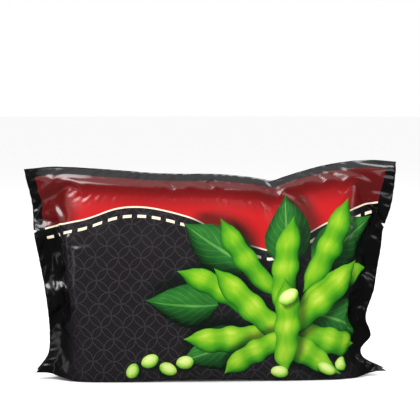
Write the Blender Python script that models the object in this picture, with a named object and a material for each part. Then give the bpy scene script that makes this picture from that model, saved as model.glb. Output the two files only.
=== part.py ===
"""A sealed stand-up pouch of edamame pods, standing on its opened bottom gusset.

Three webs of laminate make the pouch: a front panel, a back panel and a bottom gusset, heat-sealed face to face
along both sides and the top. A V-shaped tear notch is cut into each side seal. Loose pods fill the inside.
Metres, +Z up. The front panel faces -Y. The origin is on the surface that the pouch stands on, under its middle.
"""

import math
import random

import bmesh
import bpy
import numpy as np
from mathutils import Euler, Matrix, Vector

# Driving dimensions of the pouch
FLAT_WIDTH = 0.280  # of the web, from side edge to side edge
SIDE_SEAL = 0.010  # width of the seal down each side
FULLNESS = 0.0265  # how far the filled body stands out from the seal's plane, each way
CROWN = 0.14  # share of that lost from the middle of the face to its sides
GUSSET_RISE = 0.033  # height at which the gusset's middle fold runs into the side seals
LEG_SPREAD = 0.007  # how far each leg of the side seal stands off the middle, on the floor
BASE_DROP = 0.040  # how far inside the seal the gusset's fold has come down to the floor

# The laminate. A real one is about 0.12 mm thick; here it is thick enough to be a solid
FILM = 0.0006
GAP = 0.0004  # between two webs that are sealed face to face
TWO_WEBS = FILM + GAP / 2  # from the middle plane to the outside of two webs
GUSSET_WEBS = FILM + GAP  # what each half of the gusset adds on its side

# Tear notches
NOTCH_DEPTH = 0.003
NOTCH_HALF_HEIGHT = 0.0014
LEFT_NOTCH_Z = 0.110
RIGHT_NOTCH_Z = 0.113

# How finely the webs are cut into faces
SEAL_COLUMNS = 2
BODY_COLUMNS = 28
BODY_ROWS = 12
TOP_SEAL_ROWS = 2
GUSSET_HALF_ROWS = 4

# The pods
POD_COUNT = 48
POD_LENGTH = 0.062
POD_HALF_WIDTH = 0.0072
POD_HALF_THICKNESS = 0.0052
POD_TRIES = 6000
POD_CLEARANCE = 0.0007
POD_SEED = 11
PILE_FLOOR = 0.0025  # the lowest that a pod may reach, just over the gusset's film
PILE_TOP = 0.140
PILE_STEP = 0.0025


def smooth_curve(points):
    """The smooth function that runs through a few (place, value) points, turns only at them, and stays flat past
    its ends."""
    places, values = np.array(points, float).T
    slopes = np.gradient(values, places)
    steps = np.diff(values)
    slopes[1:-1] *= steps[:-1] * steps[1:] > 0

    def at(place):
        place = np.clip(place, places[0], places[-1])
        i = np.clip(np.searchsorted(places, place, side="right") - 1, 0, len(places) - 2)
        span = places[i + 1] - places[i]
        t = (place - places[i]) / span
        rest = 1 - t
        start = rest * rest * ((1 + 2 * t) * values[i] + t * span * slopes[i])
        end = t * t * ((1 + 2 * rest) * values[i + 1] - rest * span * slopes[i + 1])
        return start + end

    return at


def ease(t):
    """0 below 0, 1 above 1, and a smooth step between."""
    t = np.clip(t, 0, 1)
    return t * t * (3 - 2 * t)


# The pouch's outline as it stands filled: the four edges bow in between the corners, which stand out.
LEFT_EDGE = smooth_curve(
    [(0.005, -0.131), (0.016, -0.123), (0.033, -0.121), (0.052, -0.122), (0.090, -0.1285), (0.110, -0.132),
     (0.130, -0.1335), (0.155, -0.140)]
)
LEFT_SEAL_LINE = smooth_curve([(0.005, -0.119), (0.030, -0.112), (0.060, -0.113), (0.110, -0.122), (0.150, -0.1295)])
RIGHT_EDGE = smooth_curve(
    [(0.003, 0.133), (0.012, 0.116), (0.019, 0.1125), (0.030, 0.1205), (0.044, 0.116), (0.066, 0.1225),
     (0.095, 0.1275), (0.113, 0.1295), (0.124, 0.1335), (0.160, 0.140)]
)
RIGHT_SEAL_LINE = smooth_curve([(0.003, 0.119), (0.020, 0.1075), (0.045, 0.108), (0.070, 0.1135), (0.113, 0.120),
                                (0.155, 0.130)])
TOP_EDGE = smooth_curve(
    [(-0.140, 0.1545), (-0.117, 0.157), (-0.080, 0.1552), (-0.040, 0.152), (0.017, 0.1503), (0.036, 0.1482),
     (0.046, 0.1465), (0.056, 0.1492), (0.070, 0.1535), (0.100, 0.1597), (0.122, 0.1614), (0.140, 0.160)]
)
TOP_SEAL_HEIGHT = smooth_curve([(-0.140, 0.0085), (-0.080, 0.0070), (0.046, 0.0064), (0.140, 0.0085)])
BOTTOM_EDGE = smooth_curve(
    [(-0.133, 0.0050), (-0.120, 0.0022), (-0.105, 0.0), (-0.080, 0.0), (-0.035, 0.0024), (0.020, 0.0026),
     (0.065, 0.0), (0.112, 0.0), (0.124, 0.0012), (0.134, 0.0036)]
)

# Where the body's walls end and its flat face begins, on each side
LEFT_FACE = smooth_curve([(0.0, -0.088), (0.033, -0.091), (0.065, -0.101), (0.105, -0.106), (0.140, -0.098)])
RIGHT_FACE = smooth_curve([(0.0, 0.088), (0.033, 0.090), (0.070, 0.094), (0.113, 0.102), (0.145, 0.104)])
LEFT_WALL = smooth_curve([(0.0, -0.119), (0.033, -0.111), (0.065, -0.1095), (0.105, -0.1135), (0.145, -0.126)])
RIGHT_WALL = smooth_curve([(0.0, 0.117), (0.020, 0.107), (0.045, 0.107), (0.070, 0.112), (0.113, 0.119), (0.150, 0.128)])

# Half of the body's thickness up its height, as shares of the fullness, from the floor to the top seal
PROFILE = smooth_curve(
    [(0.0, 0.78), (0.04, 0.88), (0.12, 0.98), (0.24, 1.0), (0.42, 0.93), (0.60, 0.76), (0.76, 0.52), (0.90, 0.25), (1.0, 0.0)]
)
# How far each side seal's outer edge curls out of its plane (+ is back), up its height
LEFT_CURL = smooth_curve(
    [(0.0, 0.000), (0.016, 0.002), (0.033, 0.004), (0.055, -0.002), (0.080, 0.003), (0.106, -0.002), (0.125, 0.004),
     (0.150, 0.002)]
)
RIGHT_CURL = smooth_curve(
    [(0.0, 0.000), (0.016, 0.003), (0.031, 0.001), (0.046, -0.004), (0.062, -0.002), (0.080, 0.003), (0.100, 0.000),
     (0.118, -0.003), (0.155, 0.001)]
)
# The seal's plane itself: the top leans back, the top left corner most, and the top edge is dented where it dips
TOP_LEAN = smooth_curve([(-0.140, 0.017), (-0.110, 0.009), (-0.070, 0.006), (0.0, 0.007), (0.046, 0.003), (0.085, 0.008),
                         (0.140, 0.006)])
TOP_CURL = 0.0055  # the top seal's edge leans back this much more than its foot


def top_seal_line(x):
    return TOP_EDGE(x) - TOP_SEAL_HEIGHT(x)


def share_up(x, z):
    """Height between the bottom edge and the top seal, from 0 to 1."""
    return np.clip((z - BOTTOM_EDGE(x)) / (top_seal_line(x) - BOTTOM_EDGE(x)), 0, 1)


def wall_rise(x, z):
    """0 at the foot of the body's walls, beside the side seals, and 1 from where the face begins."""
    left = (x - LEFT_WALL(z)) / (LEFT_FACE(z) - LEFT_WALL(z))
    right = (RIGHT_WALL(z) - x) / (RIGHT_WALL(z) - RIGHT_FACE(z))
    return np.sin(np.clip(left, 0, 1) * math.pi / 2) * np.sin(np.clip(right, 0, 1) * math.pi / 2)


def seal_plane(x, z):
    """The y of the surface in which the panels are sealed together."""
    lean = TOP_LEAN(x) * share_up(x, z) ** 2.5
    top = TOP_CURL * ease((z - top_seal_line(x)) / TOP_SEAL_HEIGHT(x))
    left = LEFT_CURL(z) * np.clip((LEFT_SEAL_LINE(z) - x) / SIDE_SEAL, 0, 1.2)
    right = RIGHT_CURL(z) * np.clip((x - RIGHT_SEAL_LINE(z)) / SIDE_SEAL, 0, 1.2)
    return lean + top + left + right


def slope(surface, x, z):
    """How steeply a surface runs away in y, both ways together."""
    step = 0.0005
    across = (surface(x + step, z) - surface(x - step, z)) / (2 * step)
    up = (surface(x, z + step) - surface(x, z - step)) / (2 * step)
    return np.hypot(across, up)


def seal_half(x, z):
    """Half the thickness of the side seal: four webs low down, spread into two legs, and two webs above."""
    four_webs = 1 - ease((z - 1.15 * GUSSET_RISE) / (0.25 * GUSSET_RISE))
    webs = (TWO_WEBS + GUSSET_WEBS * four_webs) * np.hypot(1, slope(seal_plane, x, z))
    return webs + LEG_SPREAD * np.clip(1 - z / GUSSET_RISE, 0, 1)


def half_depth(x, z):
    """From the seal's surface to the outside of the front or back panel."""
    rise = wall_rise(x, z)
    across = 2 * x / (RIGHT_FACE(z) - LEFT_FACE(z))
    face = FULLNESS * PROFILE(share_up(x, z)) * (1 - CROWN * np.clip(across, -1.2, 1.2) ** 2)
    return seal_half(x, z) * (1 - rise) + (TWO_WEBS * np.hypot(1, slope(seal_plane, x, z)) + face) * rise


def room_inside(x, z, clearance):
    """From the seal's surface to one that lies this far inside the outside of the panel, square to it."""
    steepness = slope(half_depth, x, z) + slope(seal_plane, x, z)
    return half_depth(x, z) - clearance * np.hypot(1, steepness)


def x_of(across, z):
    """The x of a place in the flat web, 0 at its left edge and 1 at its right, once it is wrapped over the body."""
    seal = SIDE_SEAL / FLAT_WIDTH
    if across <= seal:
        return LEFT_EDGE(z) + (LEFT_SEAL_LINE(z) - LEFT_EDGE(z)) * across / seal
    if across >= 1 - seal:
        return RIGHT_EDGE(z) + (RIGHT_SEAL_LINE(z) - RIGHT_EDGE(z)) * (1 - across) / seal
    places = np.linspace(LEFT_SEAL_LINE(z), RIGHT_SEAL_LINE(z), 240)
    steps = np.hypot(np.diff(places), np.diff(half_depth(places, z)))
    travelled = np.concatenate([[0], np.cumsum(steps)])
    return np.interp((across - seal) / (1 - 2 * seal) * travelled[-1], travelled, places)


def columns():
    """Places across the flat web: the seals' own columns, then the body's."""
    seal = SIDE_SEAL / FLAT_WIDTH
    left = np.linspace(0, seal, SEAL_COLUMNS, endpoint=False)
    body = np.linspace(seal, 1 - seal, BODY_COLUMNS, endpoint=False)
    right = np.linspace(1 - seal, 1, SEAL_COLUMNS + 1)
    return np.concatenate([left, body, right])


def leg_heights(foot_z):
    """The z of each row that the panels and the gusset share up the legs, from the foot to the gusset's fold."""
    shares = np.linspace(1, 0, GUSSET_HALF_ROWS + 1)
    return foot_z * shares**3 + GUSSET_RISE * (1 - shares)


def heights(across):
    """The z of each row up one column: the legs' rows, the body's, closer together near the top, then the seal's."""
    x = (across - 0.5) * FLAT_WIDTH
    seal_line, top = top_seal_line(x), TOP_EDGE(x)
    steps = np.linspace(0, 1, BODY_ROWS + 1)[1:-1]
    eased = 0.7 * steps + 0.3 * np.sin(steps * math.pi / 2)
    body = GUSSET_RISE + (seal_line - GUSSET_RISE) * eased
    return np.concatenate([leg_heights(BOTTOM_EDGE(x)), body, np.linspace(seal_line, top, TOP_SEAL_ROWS + 1)])


def material(name, colour, roughness):
    """A Principled material with one colour."""
    made = bpy.data.materials.new(name)
    made.use_nodes = True
    shader = made.node_tree.nodes["Principled BSDF"]
    shader.inputs["Base Color"].default_value = (*colour, 1)
    shader.inputs["Roughness"].default_value = roughness
    shader.inputs["Metallic"].default_value = 0
    return made


def sheet(name, rows, skin, turned=False):
    """A web made from rows of points, thickened away from the side that its faces show. Turned, they show the other.
    Every web splits its four-sided cells along the same diagonal, so that webs sealed face to face nest."""
    grid = bmesh.new()
    verts = [[grid.verts.new(point) for point in row] for row in rows]
    for low, high in zip(verts, verts[1:]):
        for i in range(len(low) - 1):
            for corners in ([low[i], low[i + 1], high[i + 1]], [low[i], high[i + 1], high[i]]):
                grid.faces.new(corners[::-1] if turned else corners)
    mesh = bpy.data.meshes.new(name)
    grid.to_mesh(mesh)
    grid.free()
    mesh.materials.append(skin)
    mesh.shade_smooth()
    made = bpy.data.objects.new(name, mesh)
    bpy.context.scene.collection.objects.link(made)
    thickness = made.modifiers.new("film", "SOLIDIFY")
    thickness.thickness = FILM
    thickness.offset = -1
    thickness.use_even_offset = True
    thickness.use_rim = True
    return made


def panel(name, side, skin):
    """The front (side -1) or back (side 1) panel."""
    grid_columns = [[(x_of(across, z), z) for z in heights(across)] for across in columns()]
    rows = [[(x, seal_plane(x, z) + side * half_depth(x, z), z) for x, z in row] for row in zip(*grid_columns)]
    return sheet(name, rows, skin, turned=side > 0)


def gusset_ridge(x):
    """Height of the gusset's middle fold: up in the side seals, down on the floor under the body."""
    inside = np.minimum(x - LEFT_SEAL_LINE(GUSSET_RISE), RIGHT_SEAL_LINE(GUSSET_RISE) - x)
    return GUSSET_RISE * (1 - ease(inside / BASE_DROP))


def gusset(name, skin):
    """The bottom web: flat on the floor under the body, and folded up between the two legs at each side."""
    inner = GUSSET_WEBS + FILM
    shares = np.linspace(1, 0, GUSSET_HALF_ROWS + 1)
    halves = {-1: [], 1: []}
    for across in columns():
        foot_z = BOTTOM_EDGE((across - 0.5) * FLAT_WIDTH)
        foot_x = x_of(across, foot_z)
        fold = gusset_ridge(foot_x) / GUSSET_RISE
        for share, leg_z in zip(shares, leg_heights(foot_z)):
            z = foot_z * max(0, 2 * share - 1) ** 2 * (1 - fold) + leg_z * fold
            x = x_of(across, z)
            reach = min(share * room_inside(foot_x, foot_z, inner), room_inside(x, z, inner))
            for side, rows in halves.items():  # the middle fold is one gap wide
                rows.append((x, seal_plane(x, z) + side * max(reach, GAP / 2), z))
    front, back = (np.array(points).reshape(-1, GUSSET_HALF_ROWS + 1, 3).swapaxes(0, 1) for points in halves.values())
    return sheet(name, np.concatenate([front, back[::-1]]), skin, turned=True)


def cut_notch(target, x, z, inwards):
    """A V cut through a panel's side seal. Both panels get it in the same place."""
    wedge = bmesh.new()
    outside = 0.004  # the cutter starts this far outside the edge
    half = NOTCH_HALF_HEIGHT * (NOTCH_DEPTH + outside) / NOTCH_DEPTH
    corners = [(x + inwards * NOTCH_DEPTH, z), (x - inwards * outside, z - half), (x - inwards * outside, z + half)]
    ends = [[wedge.verts.new((cx, y, cz)) for cx, cz in corners] for y in (-0.02, 0.03)]
    wedge.faces.new(ends[0])
    wedge.faces.new(ends[1][::-1])
    for i in range(3):
        j = (i + 1) % 3
        wedge.faces.new([ends[0][i], ends[1][i], ends[1][j], ends[0][j]])
    bmesh.ops.recalc_face_normals(wedge, faces=wedge.faces[:])
    mesh = bpy.data.meshes.new("notch_cutter")
    wedge.to_mesh(mesh)
    wedge.free()
    cutter = bpy.data.objects.new("notch_cutter", mesh)
    bpy.context.scene.collection.objects.link(cutter)
    cutter.hide_render = True
    cutter.display_type = "WIRE"
    cut = target.modifiers.new("notch", "BOOLEAN")
    cut.operation = "DIFFERENCE"
    cut.object = cutter


# Pods. Along its length each is a chain of beans, between a stalk end and a drawn-out tip.
POD_RINGS = [0.0, 0.06, 0.16, 0.27, 0.38, 0.49, 0.60, 0.71, 0.82, 0.92, 1.0]
POD_OUTLINE = smooth_curve([(0.0, 0.20), (0.06, 0.34), (0.18, 0.86), (0.5, 1.0), (0.80, 0.84), (0.93, 0.40), (1.0, 0.10)])
POD_SIDES = 6


def pod_spine(along, bend):
    """The middle of a pod, in its own XZ plane: a shallow arc, 'bend' high."""
    return Vector(((along - 0.5) * POD_LENGTH, 0, bend * (4 * along * (1 - along) - 0.6)))


def pod_swell(along, beans):
    """1 over a bean and less between two."""
    return 0.89 + 0.11 * math.cos(2 * math.pi * (along - 0.5) * beans * 1.18 + (math.pi if beans % 2 == 0 else 0))


def pod_mesh(name, beans, bend, skin):
    """One pod, as rings of points round its spine, with both ends closed."""
    body = bmesh.new()
    rings = []
    for along in POD_RINGS:
        middle = pod_spine(along, bend)
        swell = pod_swell(along, beans)
        wide = POD_HALF_WIDTH * POD_OUTLINE(along) * (0.5 + 0.5 * swell)
        thick = POD_HALF_THICKNESS * POD_OUTLINE(along) * swell
        turns = [2 * math.pi * i / POD_SIDES for i in range(POD_SIDES)]
        rings.append([body.verts.new(middle + Vector((0, thick * math.cos(t), wide * math.sin(t)))) for t in turns])
    for ring, after in zip(rings, rings[1:]):
        for i in range(POD_SIDES):
            j = (i + 1) % POD_SIDES
            body.faces.new([ring[i], ring[j], after[j], after[i]])
    body.faces.new(rings[0][::-1])
    body.faces.new(rings[-1])
    bmesh.ops.recalc_face_normals(body, faces=body.faces[:])
    mesh = bpy.data.meshes.new(name)
    body.to_mesh(mesh)
    body.free()
    mesh.materials.append(skin)
    mesh.shade_smooth()
    return mesh


def tabulated(surface):
    """The same surface read from a table with a place every millimetre, which is much quicker."""
    xs, zs = np.arange(-0.150, 0.151, 0.001), np.arange(-0.010, 0.171, 0.001)
    table = surface(*np.meshgrid(xs, zs, indexing="ij"))

    def at(x, z):
        i, j = (x - xs[0]) / 0.001, (z - zs[0]) / 0.001
        low_i, low_j = np.clip(i.astype(int), 0, len(xs) - 2), np.clip(j.astype(int), 0, len(zs) - 2)
        across, up = i - low_i, j - low_j
        below = table[low_i, low_j] * (1 - across) + table[low_i + 1, low_j] * across
        above = table[low_i, low_j + 1] * (1 - across) + table[low_i + 1, low_j + 1] * across
        return below * (1 - up) + above * up

    return at


def pod_balls(turn, bend, scale):
    """Centres and radii of a chain of balls that holds a pod, round the pod's own origin."""
    alongs = [0.06, 0.18, 0.32, 0.46, 0.60, 0.74, 0.87, 0.96]
    centres = np.array([turn @ (pod_spine(along, bend) * scale) for along in alongs])
    radii = np.array([POD_HALF_WIDTH * POD_OUTLINE(along) * scale for along in alongs])
    return centres, radii


def inside_pouch(centres, radii, room, plane, fold_height):
    """For each place of the pod, whether every ball is clear of both panels and of the gusset."""
    reach = radii + POD_CLEARANCE
    clear = np.ones(len(centres), bool)
    for dx, dz, thick in ((0, 0, 0.75), (1, 0, 0.5), (-1, 0, 0.5), (0, 1, 0.4), (0, -1, 0.4)):
        x, z = centres[..., 0] + dx * reach, centres[..., 2] + dz * reach
        sticks_out = np.abs(centres[..., 1] - plane(x, z)) + thick * reach > room(x, z)
        clear &= ~np.any(sticks_out, axis=1)
    left, right = centres[..., 0] - reach, centres[..., 0] + reach
    fold = np.maximum(fold_height(left, left * 0), fold_height(right, right * 0)) + FILM
    return clear & ~np.any(centres[..., 2] - reach < np.maximum(fold, PILE_FLOOR), axis=1)


def clear_of(centres, radii, others):
    """For each place of the pod, whether its balls are clear of all those placed. Pods lie flat, so they nest
    closer front to back."""
    if not len(others):
        return np.ones(len(centres), bool)
    flat = np.array([1, POD_HALF_WIDTH / POD_HALF_THICKNESS, 1])
    apart = np.linalg.norm((centres[:, :, None, :] - others[None, None, :, :3]) * flat, axis=3)
    return np.all(apart > radii[:, None] + others[:, 3] + POD_CLEARANCE, axis=(1, 2))


def fill_with_pods(skin):
    """Each pod gets a random turn and place and lies as low as it fits, until the pouch holds its pods."""
    draw = random.Random(POD_SEED)
    shapes = [(3, 0.0040), (2, 0.0030), (3, -0.0034)]
    meshes = [pod_mesh(f"pod_of_{beans}_{i}", beans, bend, skin) for i, (beans, bend) in enumerate(shapes)]
    levels = np.arange(PILE_FLOOR, PILE_TOP, PILE_STEP)
    room = tabulated(lambda x, z: room_inside(x, z, FILM + POD_CLEARANCE))
    plane = tabulated(seal_plane)
    fold_height = tabulated(lambda x, z: gusset_ridge(x))
    placed = np.empty((0, 4))
    count = 0
    for tries in range(POD_TRIES):
        if count == POD_COUNT:
            break
        kind = draw.randrange(len(shapes))
        scale = draw.uniform(0.92, 1.06)
        turn = Euler((draw.uniform(-0.2, 0.2), draw.uniform(-0.75, 0.75), draw.uniform(-0.16, 0.16))).to_matrix()
        x, y = draw.uniform(-0.095, 0.095), draw.uniform(-0.021, 0.021)
        chain, radii = pod_balls(turn, shapes[kind][1], scale)
        centres = chain[None] + np.array([[[x, y, level]] for level in levels])
        inside = np.flatnonzero(inside_pouch(centres, radii, room, plane, fold_height))
        fits = inside[clear_of(centres[inside], radii, placed)]
        if not len(fits):
            continue
        lowest = fits[0]
        count += 1
        pod = bpy.data.objects.new(f"pod_{count:02d}", meshes[kind])
        pod.matrix_world = Matrix.LocRotScale(Vector((x, y, levels[lowest])), turn.to_quaternion(), Vector((scale,) * 3))
        bpy.context.scene.collection.objects.link(pod)
        placed = np.vstack([placed, np.column_stack([centres[lowest], radii])])
    print(f"{count} pods placed in {tries} tries")


def build():
    for old in list(bpy.data.objects):
        bpy.data.objects.remove(old)
    front = panel("front_panel", -1, material("printed_film_front", (0.035, 0.030, 0.032), 0.28))
    back = panel("back_panel", 1, material("printed_film_back", (0.020, 0.018, 0.019), 0.28))
    gusset("bottom_gusset", material("black_film", (0.012, 0.011, 0.012), 0.32))
    for web in (front, back):
        cut_notch(web, float(LEFT_EDGE(LEFT_NOTCH_Z)), LEFT_NOTCH_Z, 1)
        cut_notch(web, float(RIGHT_EDGE(RIGHT_NOTCH_Z)), RIGHT_NOTCH_Z, -1)
    fill_with_pods(material("blanched_pod", (0.16, 0.36, 0.05), 0.45))


build()
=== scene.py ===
# %% [markdown]
# # A stand-up pouch of frozen edamame
# The object is a glossy laminate pouch that stands on its opened bottom fold. Its front and back webs are
# printed, heat-sealed together down both sides and along the top, and stuffed out by the bean pods inside.
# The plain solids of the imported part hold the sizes. This script dresses them: finer webs with the wrinkles
# that real film makes, a bottom gusset, smooth pods, and a material for each. Lengths are in metres, except
# where a comment says millimetres.

import math
import random

import bmesh
import bpy
import numpy as np
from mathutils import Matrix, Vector


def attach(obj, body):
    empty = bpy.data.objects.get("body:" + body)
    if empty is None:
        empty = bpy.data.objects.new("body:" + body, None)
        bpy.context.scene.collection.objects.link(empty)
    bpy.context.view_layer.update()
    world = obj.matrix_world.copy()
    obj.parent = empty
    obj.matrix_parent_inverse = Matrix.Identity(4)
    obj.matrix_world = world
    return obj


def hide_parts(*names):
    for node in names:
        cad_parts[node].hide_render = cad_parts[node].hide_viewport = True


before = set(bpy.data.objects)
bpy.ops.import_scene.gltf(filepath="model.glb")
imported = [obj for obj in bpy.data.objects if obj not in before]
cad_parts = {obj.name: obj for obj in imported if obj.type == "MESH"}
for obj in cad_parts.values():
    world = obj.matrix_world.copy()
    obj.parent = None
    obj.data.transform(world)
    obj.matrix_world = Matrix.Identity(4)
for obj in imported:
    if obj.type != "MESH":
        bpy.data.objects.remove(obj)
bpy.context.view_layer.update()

# %% [markdown]
# ## Camera
# A long lens from a metre or so away keeps the pouch's edges straight, as a catalogue picture does. The
# camera is a little above the table and a touch to the left, so that the top seal is seen slightly from
# above. Its place is worked out from two angles and a distance, which are easier to change than three
# coordinates.

# %% Camera
SEEN_WIDTH = 0.3125  # of the scene, at the pouch
CAMERA_DISTANCE = 1.25
CAMERA_AZIMUTH = math.radians(-3)
CAMERA_ELEVATION = math.radians(6)
AIM = Vector((-0.001, 0, 0.1255))

lens = bpy.data.cameras.new("camera")
lens.sensor_width = 36
lens.lens = lens.sensor_width * CAMERA_DISTANCE / SEEN_WIDTH
camera = bpy.data.objects.new("camera", lens)
bpy.context.scene.collection.objects.link(camera)
back = Vector((
    math.sin(CAMERA_AZIMUTH) * math.cos(CAMERA_ELEVATION),
    -math.cos(CAMERA_AZIMUTH) * math.cos(CAMERA_ELEVATION),
    math.sin(CAMERA_ELEVATION),
))
camera.location = AIM + back * CAMERA_DISTANCE
camera.rotation_euler = back.to_track_quat("Z", "Y").to_euler()
bpy.context.scene.camera = camera
print("camera at", [round(c, 3) for c in camera.location], "with a", round(lens.lens), "mm lens")

# %% [markdown]
# ## The pouch's form
# A filled pouch is flat film bent over its contents. Its outline bows in between the four corners, because
# the film that goes round the body is missing from its width. It could be sculpted, but then no size could
# be read or changed. So a few curves give the outline, the seals and how far the body stands out, as the
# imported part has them. Each runs smoothly through a handful of points.

# %% Helpers for smooth curves
def smooth_curve(points):
    """The smooth function through (place, value) points. It turns only at them and is flat past them."""
    places, values = np.array(points, float).T
    slopes = np.gradient(values, places)
    steps = np.diff(values)
    slopes[1:-1] *= steps[:-1] * steps[1:] > 0

    def at(place):
        place = np.clip(place, places[0], places[-1])
        i = np.clip(np.searchsorted(places, place, side="right") - 1, 0, len(places) - 2)
        span = places[i + 1] - places[i]
        t = (place - places[i]) / span
        rest = 1 - t
        start = rest * rest * ((1 + 2 * t) * values[i] + t * span * slopes[i])
        end = t * t * ((1 + 2 * rest) * values[i + 1] - rest * span * slopes[i + 1])
        return start + end

    return at


def soft_step(value, start, end):
    """0 before start and 1 past end, smooth between. The two may run either way."""
    t = np.clip((value - start) / (end - start), 0, 1)
    return t * t * (3 - 2 * t)


print("a quarter of the way, a soft step has reached", soft_step(0.25, 0, 1))

# %% Outline, seals and depth of the body
FLAT_WIDTH = 0.280
FLAT_HEIGHT = 0.161
SIDE_SEAL = 0.010
FULLNESS = 0.0265  # how far the face stands out, at the most
CROWN = 0.14  # the share of it that is lost towards the sides of the face
GUSSET_RISE = 0.033
LEG_SPREAD = 0.007  # how far the webs stand apart beside the opened gusset's fold
LEG_HEIGHT = 1.2 * GUSSET_RISE
LEG_FLARE = 1.3
TOP_CURL = 0.0055
LEAN_BEND = 2.5  # the power by which the lean of the top sets in

# Across, by height: the outline, the inner lines of the side seals, then the face and the foot of its walls
LEFT_EDGE = smooth_curve([
    (0.005, -0.131), (0.016, -0.123), (0.033, -0.121), (0.052, -0.122), (0.090, -0.1285), (0.110, -0.132),
    (0.130, -0.1335), (0.155, -0.140)])
LEFT_SEAL_LINE = smooth_curve([
    (0.005, -0.119), (0.030, -0.112), (0.060, -0.113), (0.110, -0.122), (0.150, -0.1295)])
RIGHT_EDGE = smooth_curve([
    (0.003, 0.133), (0.012, 0.116), (0.019, 0.1125), (0.030, 0.1205), (0.044, 0.116), (0.066, 0.1225),
    (0.095, 0.1275), (0.113, 0.1295), (0.124, 0.1335), (0.160, 0.140)])
RIGHT_SEAL_LINE = smooth_curve([
    (0.003, 0.119), (0.020, 0.1075), (0.045, 0.108), (0.070, 0.1135), (0.113, 0.120), (0.155, 0.130)])
LEFT_FACE = smooth_curve([(0, -0.088), (0.033, -0.091), (0.065, -0.101), (0.105, -0.106), (0.140, -0.098)])
RIGHT_FACE = smooth_curve([(0, 0.088), (0.033, 0.090), (0.070, 0.094), (0.113, 0.102), (0.145, 0.104)])
LEFT_WALL = smooth_curve([(0, -0.119), (0.033, -0.111), (0.065, -0.1095), (0.105, -0.1135), (0.145, -0.126)])
RIGHT_WALL = smooth_curve([
    (0, 0.117), (0.020, 0.107), (0.045, 0.107), (0.070, 0.112), (0.113, 0.119), (0.150, 0.128)])

# Up, by place across: the top and bottom edges, and the height of the top seal
TOP_EDGE = smooth_curve([
    (-0.140, 0.1545), (-0.117, 0.157), (-0.080, 0.1552), (-0.040, 0.152), (0.017, 0.1503), (0.036, 0.1482),
    (0.046, 0.1465), (0.056, 0.1492), (0.070, 0.1535), (0.100, 0.1597), (0.122, 0.1614), (0.140, 0.160)])
TOP_SEAL_HEIGHT = smooth_curve([(-0.140, 0.0085), (-0.080, 0.0070), (0.046, 0.0064), (0.140, 0.0085)])
BOTTOM_EDGE = smooth_curve([
    (-0.133, 0.0050), (-0.120, 0.0022), (-0.105, 0), (-0.080, 0), (-0.035, 0.0024), (0.020, 0.0026),
    (0.065, 0), (0.112, 0), (0.124, 0.0012), (0.134, 0.0036)])

# Front to back: how full the face is from the bottom (0) to the top seal (1), how the edges curl by height,
# and how the top leans by place across
PROFILE = smooth_curve([
    (0, 0.78), (0.04, 0.88), (0.12, 0.98), (0.24, 1), (0.42, 0.93), (0.60, 0.76), (0.76, 0.52), (0.90, 0.25),
    (1, 0)])
LEFT_CURL = smooth_curve([
    (0, 0), (0.016, 0.002), (0.033, 0.004), (0.055, -0.002), (0.080, 0.003), (0.106, -0.002), (0.125, 0.004),
    (0.150, 0.002)])
RIGHT_CURL = smooth_curve([
    (0, 0), (0.016, 0.003), (0.031, 0.001), (0.046, -0.004), (0.062, -0.002), (0.080, 0.003), (0.100, 0),
    (0.118, -0.003), (0.155, 0.001)])
TOP_LEAN = smooth_curve([
    (-0.140, 0.017), (-0.110, 0.009), (-0.070, 0.006), (0, 0.007), (0.046, 0.003), (0.085, 0.008),
    (0.140, 0.006)])
print("the top edge runs", [round(1000 * float(TOP_EDGE(x)), 1) for x in (-0.14, 0, 0.14)], "mm up")


# %% Where the webs lie
def top_seal_line(x):
    return TOP_EDGE(x) - TOP_SEAL_HEIGHT(x)


def share_up(x, z):
    """Height between the bottom edge and the top seal, from 0 to 1."""
    return np.clip((z - BOTTOM_EDGE(x)) / (top_seal_line(x) - BOTTOM_EDGE(x)), 0, 1)


def wall_rise(x, z):
    """0 at the foot of the body's walls, beside the side seals, and 1 from where the face begins."""
    left = (x - LEFT_WALL(z)) / (LEFT_FACE(z) - LEFT_WALL(z))
    right = (RIGHT_WALL(z) - x) / (RIGHT_WALL(z) - RIGHT_FACE(z))
    return np.sin(np.clip(left, 0, 1) * math.pi / 2) * np.sin(np.clip(right, 0, 1) * math.pi / 2)


def seal_plane(x, z):
    """The y of the surface in which the webs are sealed together."""
    lean = TOP_LEAN(x) * share_up(x, z) ** LEAN_BEND
    top = TOP_CURL * soft_step(z, top_seal_line(x), TOP_EDGE(x))
    left = LEFT_CURL(z) * np.clip((LEFT_SEAL_LINE(z) - x) / SIDE_SEAL, 0, 1.2)
    right = RIGHT_CURL(z) * np.clip((x - RIGHT_SEAL_LINE(z)) / SIDE_SEAL, 0, 1.2)
    return lean + top + left + right


def half_depth(x, z):
    """From the seal's surface to the middle of the front or back web."""
    rise = wall_rise(x, z)
    across = 2 * x / (RIGHT_FACE(z) - LEFT_FACE(z))
    face = FULLNESS * PROFILE(share_up(x, z)) * (1 - CROWN * np.clip(across, -1.2, 1.2) ** 2)
    legs = LEG_SPREAD * np.clip(1 - z / LEG_HEIGHT, 0, 1) ** LEG_FLARE
    return legs * (1 - rise) + face * rise


print("body stands out", round(1000 * float(half_depth(0.0, 0.04)), 1), "mm each way at its fullest")

# %% [markdown]
# ## Folds and lumps of the front
# A pouch that has been packed, frozen and handled keeps folds where the film was creased, and the pods
# under it make it gently lumpy. Folds could be drawn in Sculpt Mode, but here each is a line through a few
# points with a sharp crest, so that it can be moved by its numbers. It stands out of the front or runs into
# it. Where the webs are sealed, the back web has to follow. The lumps are a sum of long waves in drawn
# directions.

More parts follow.
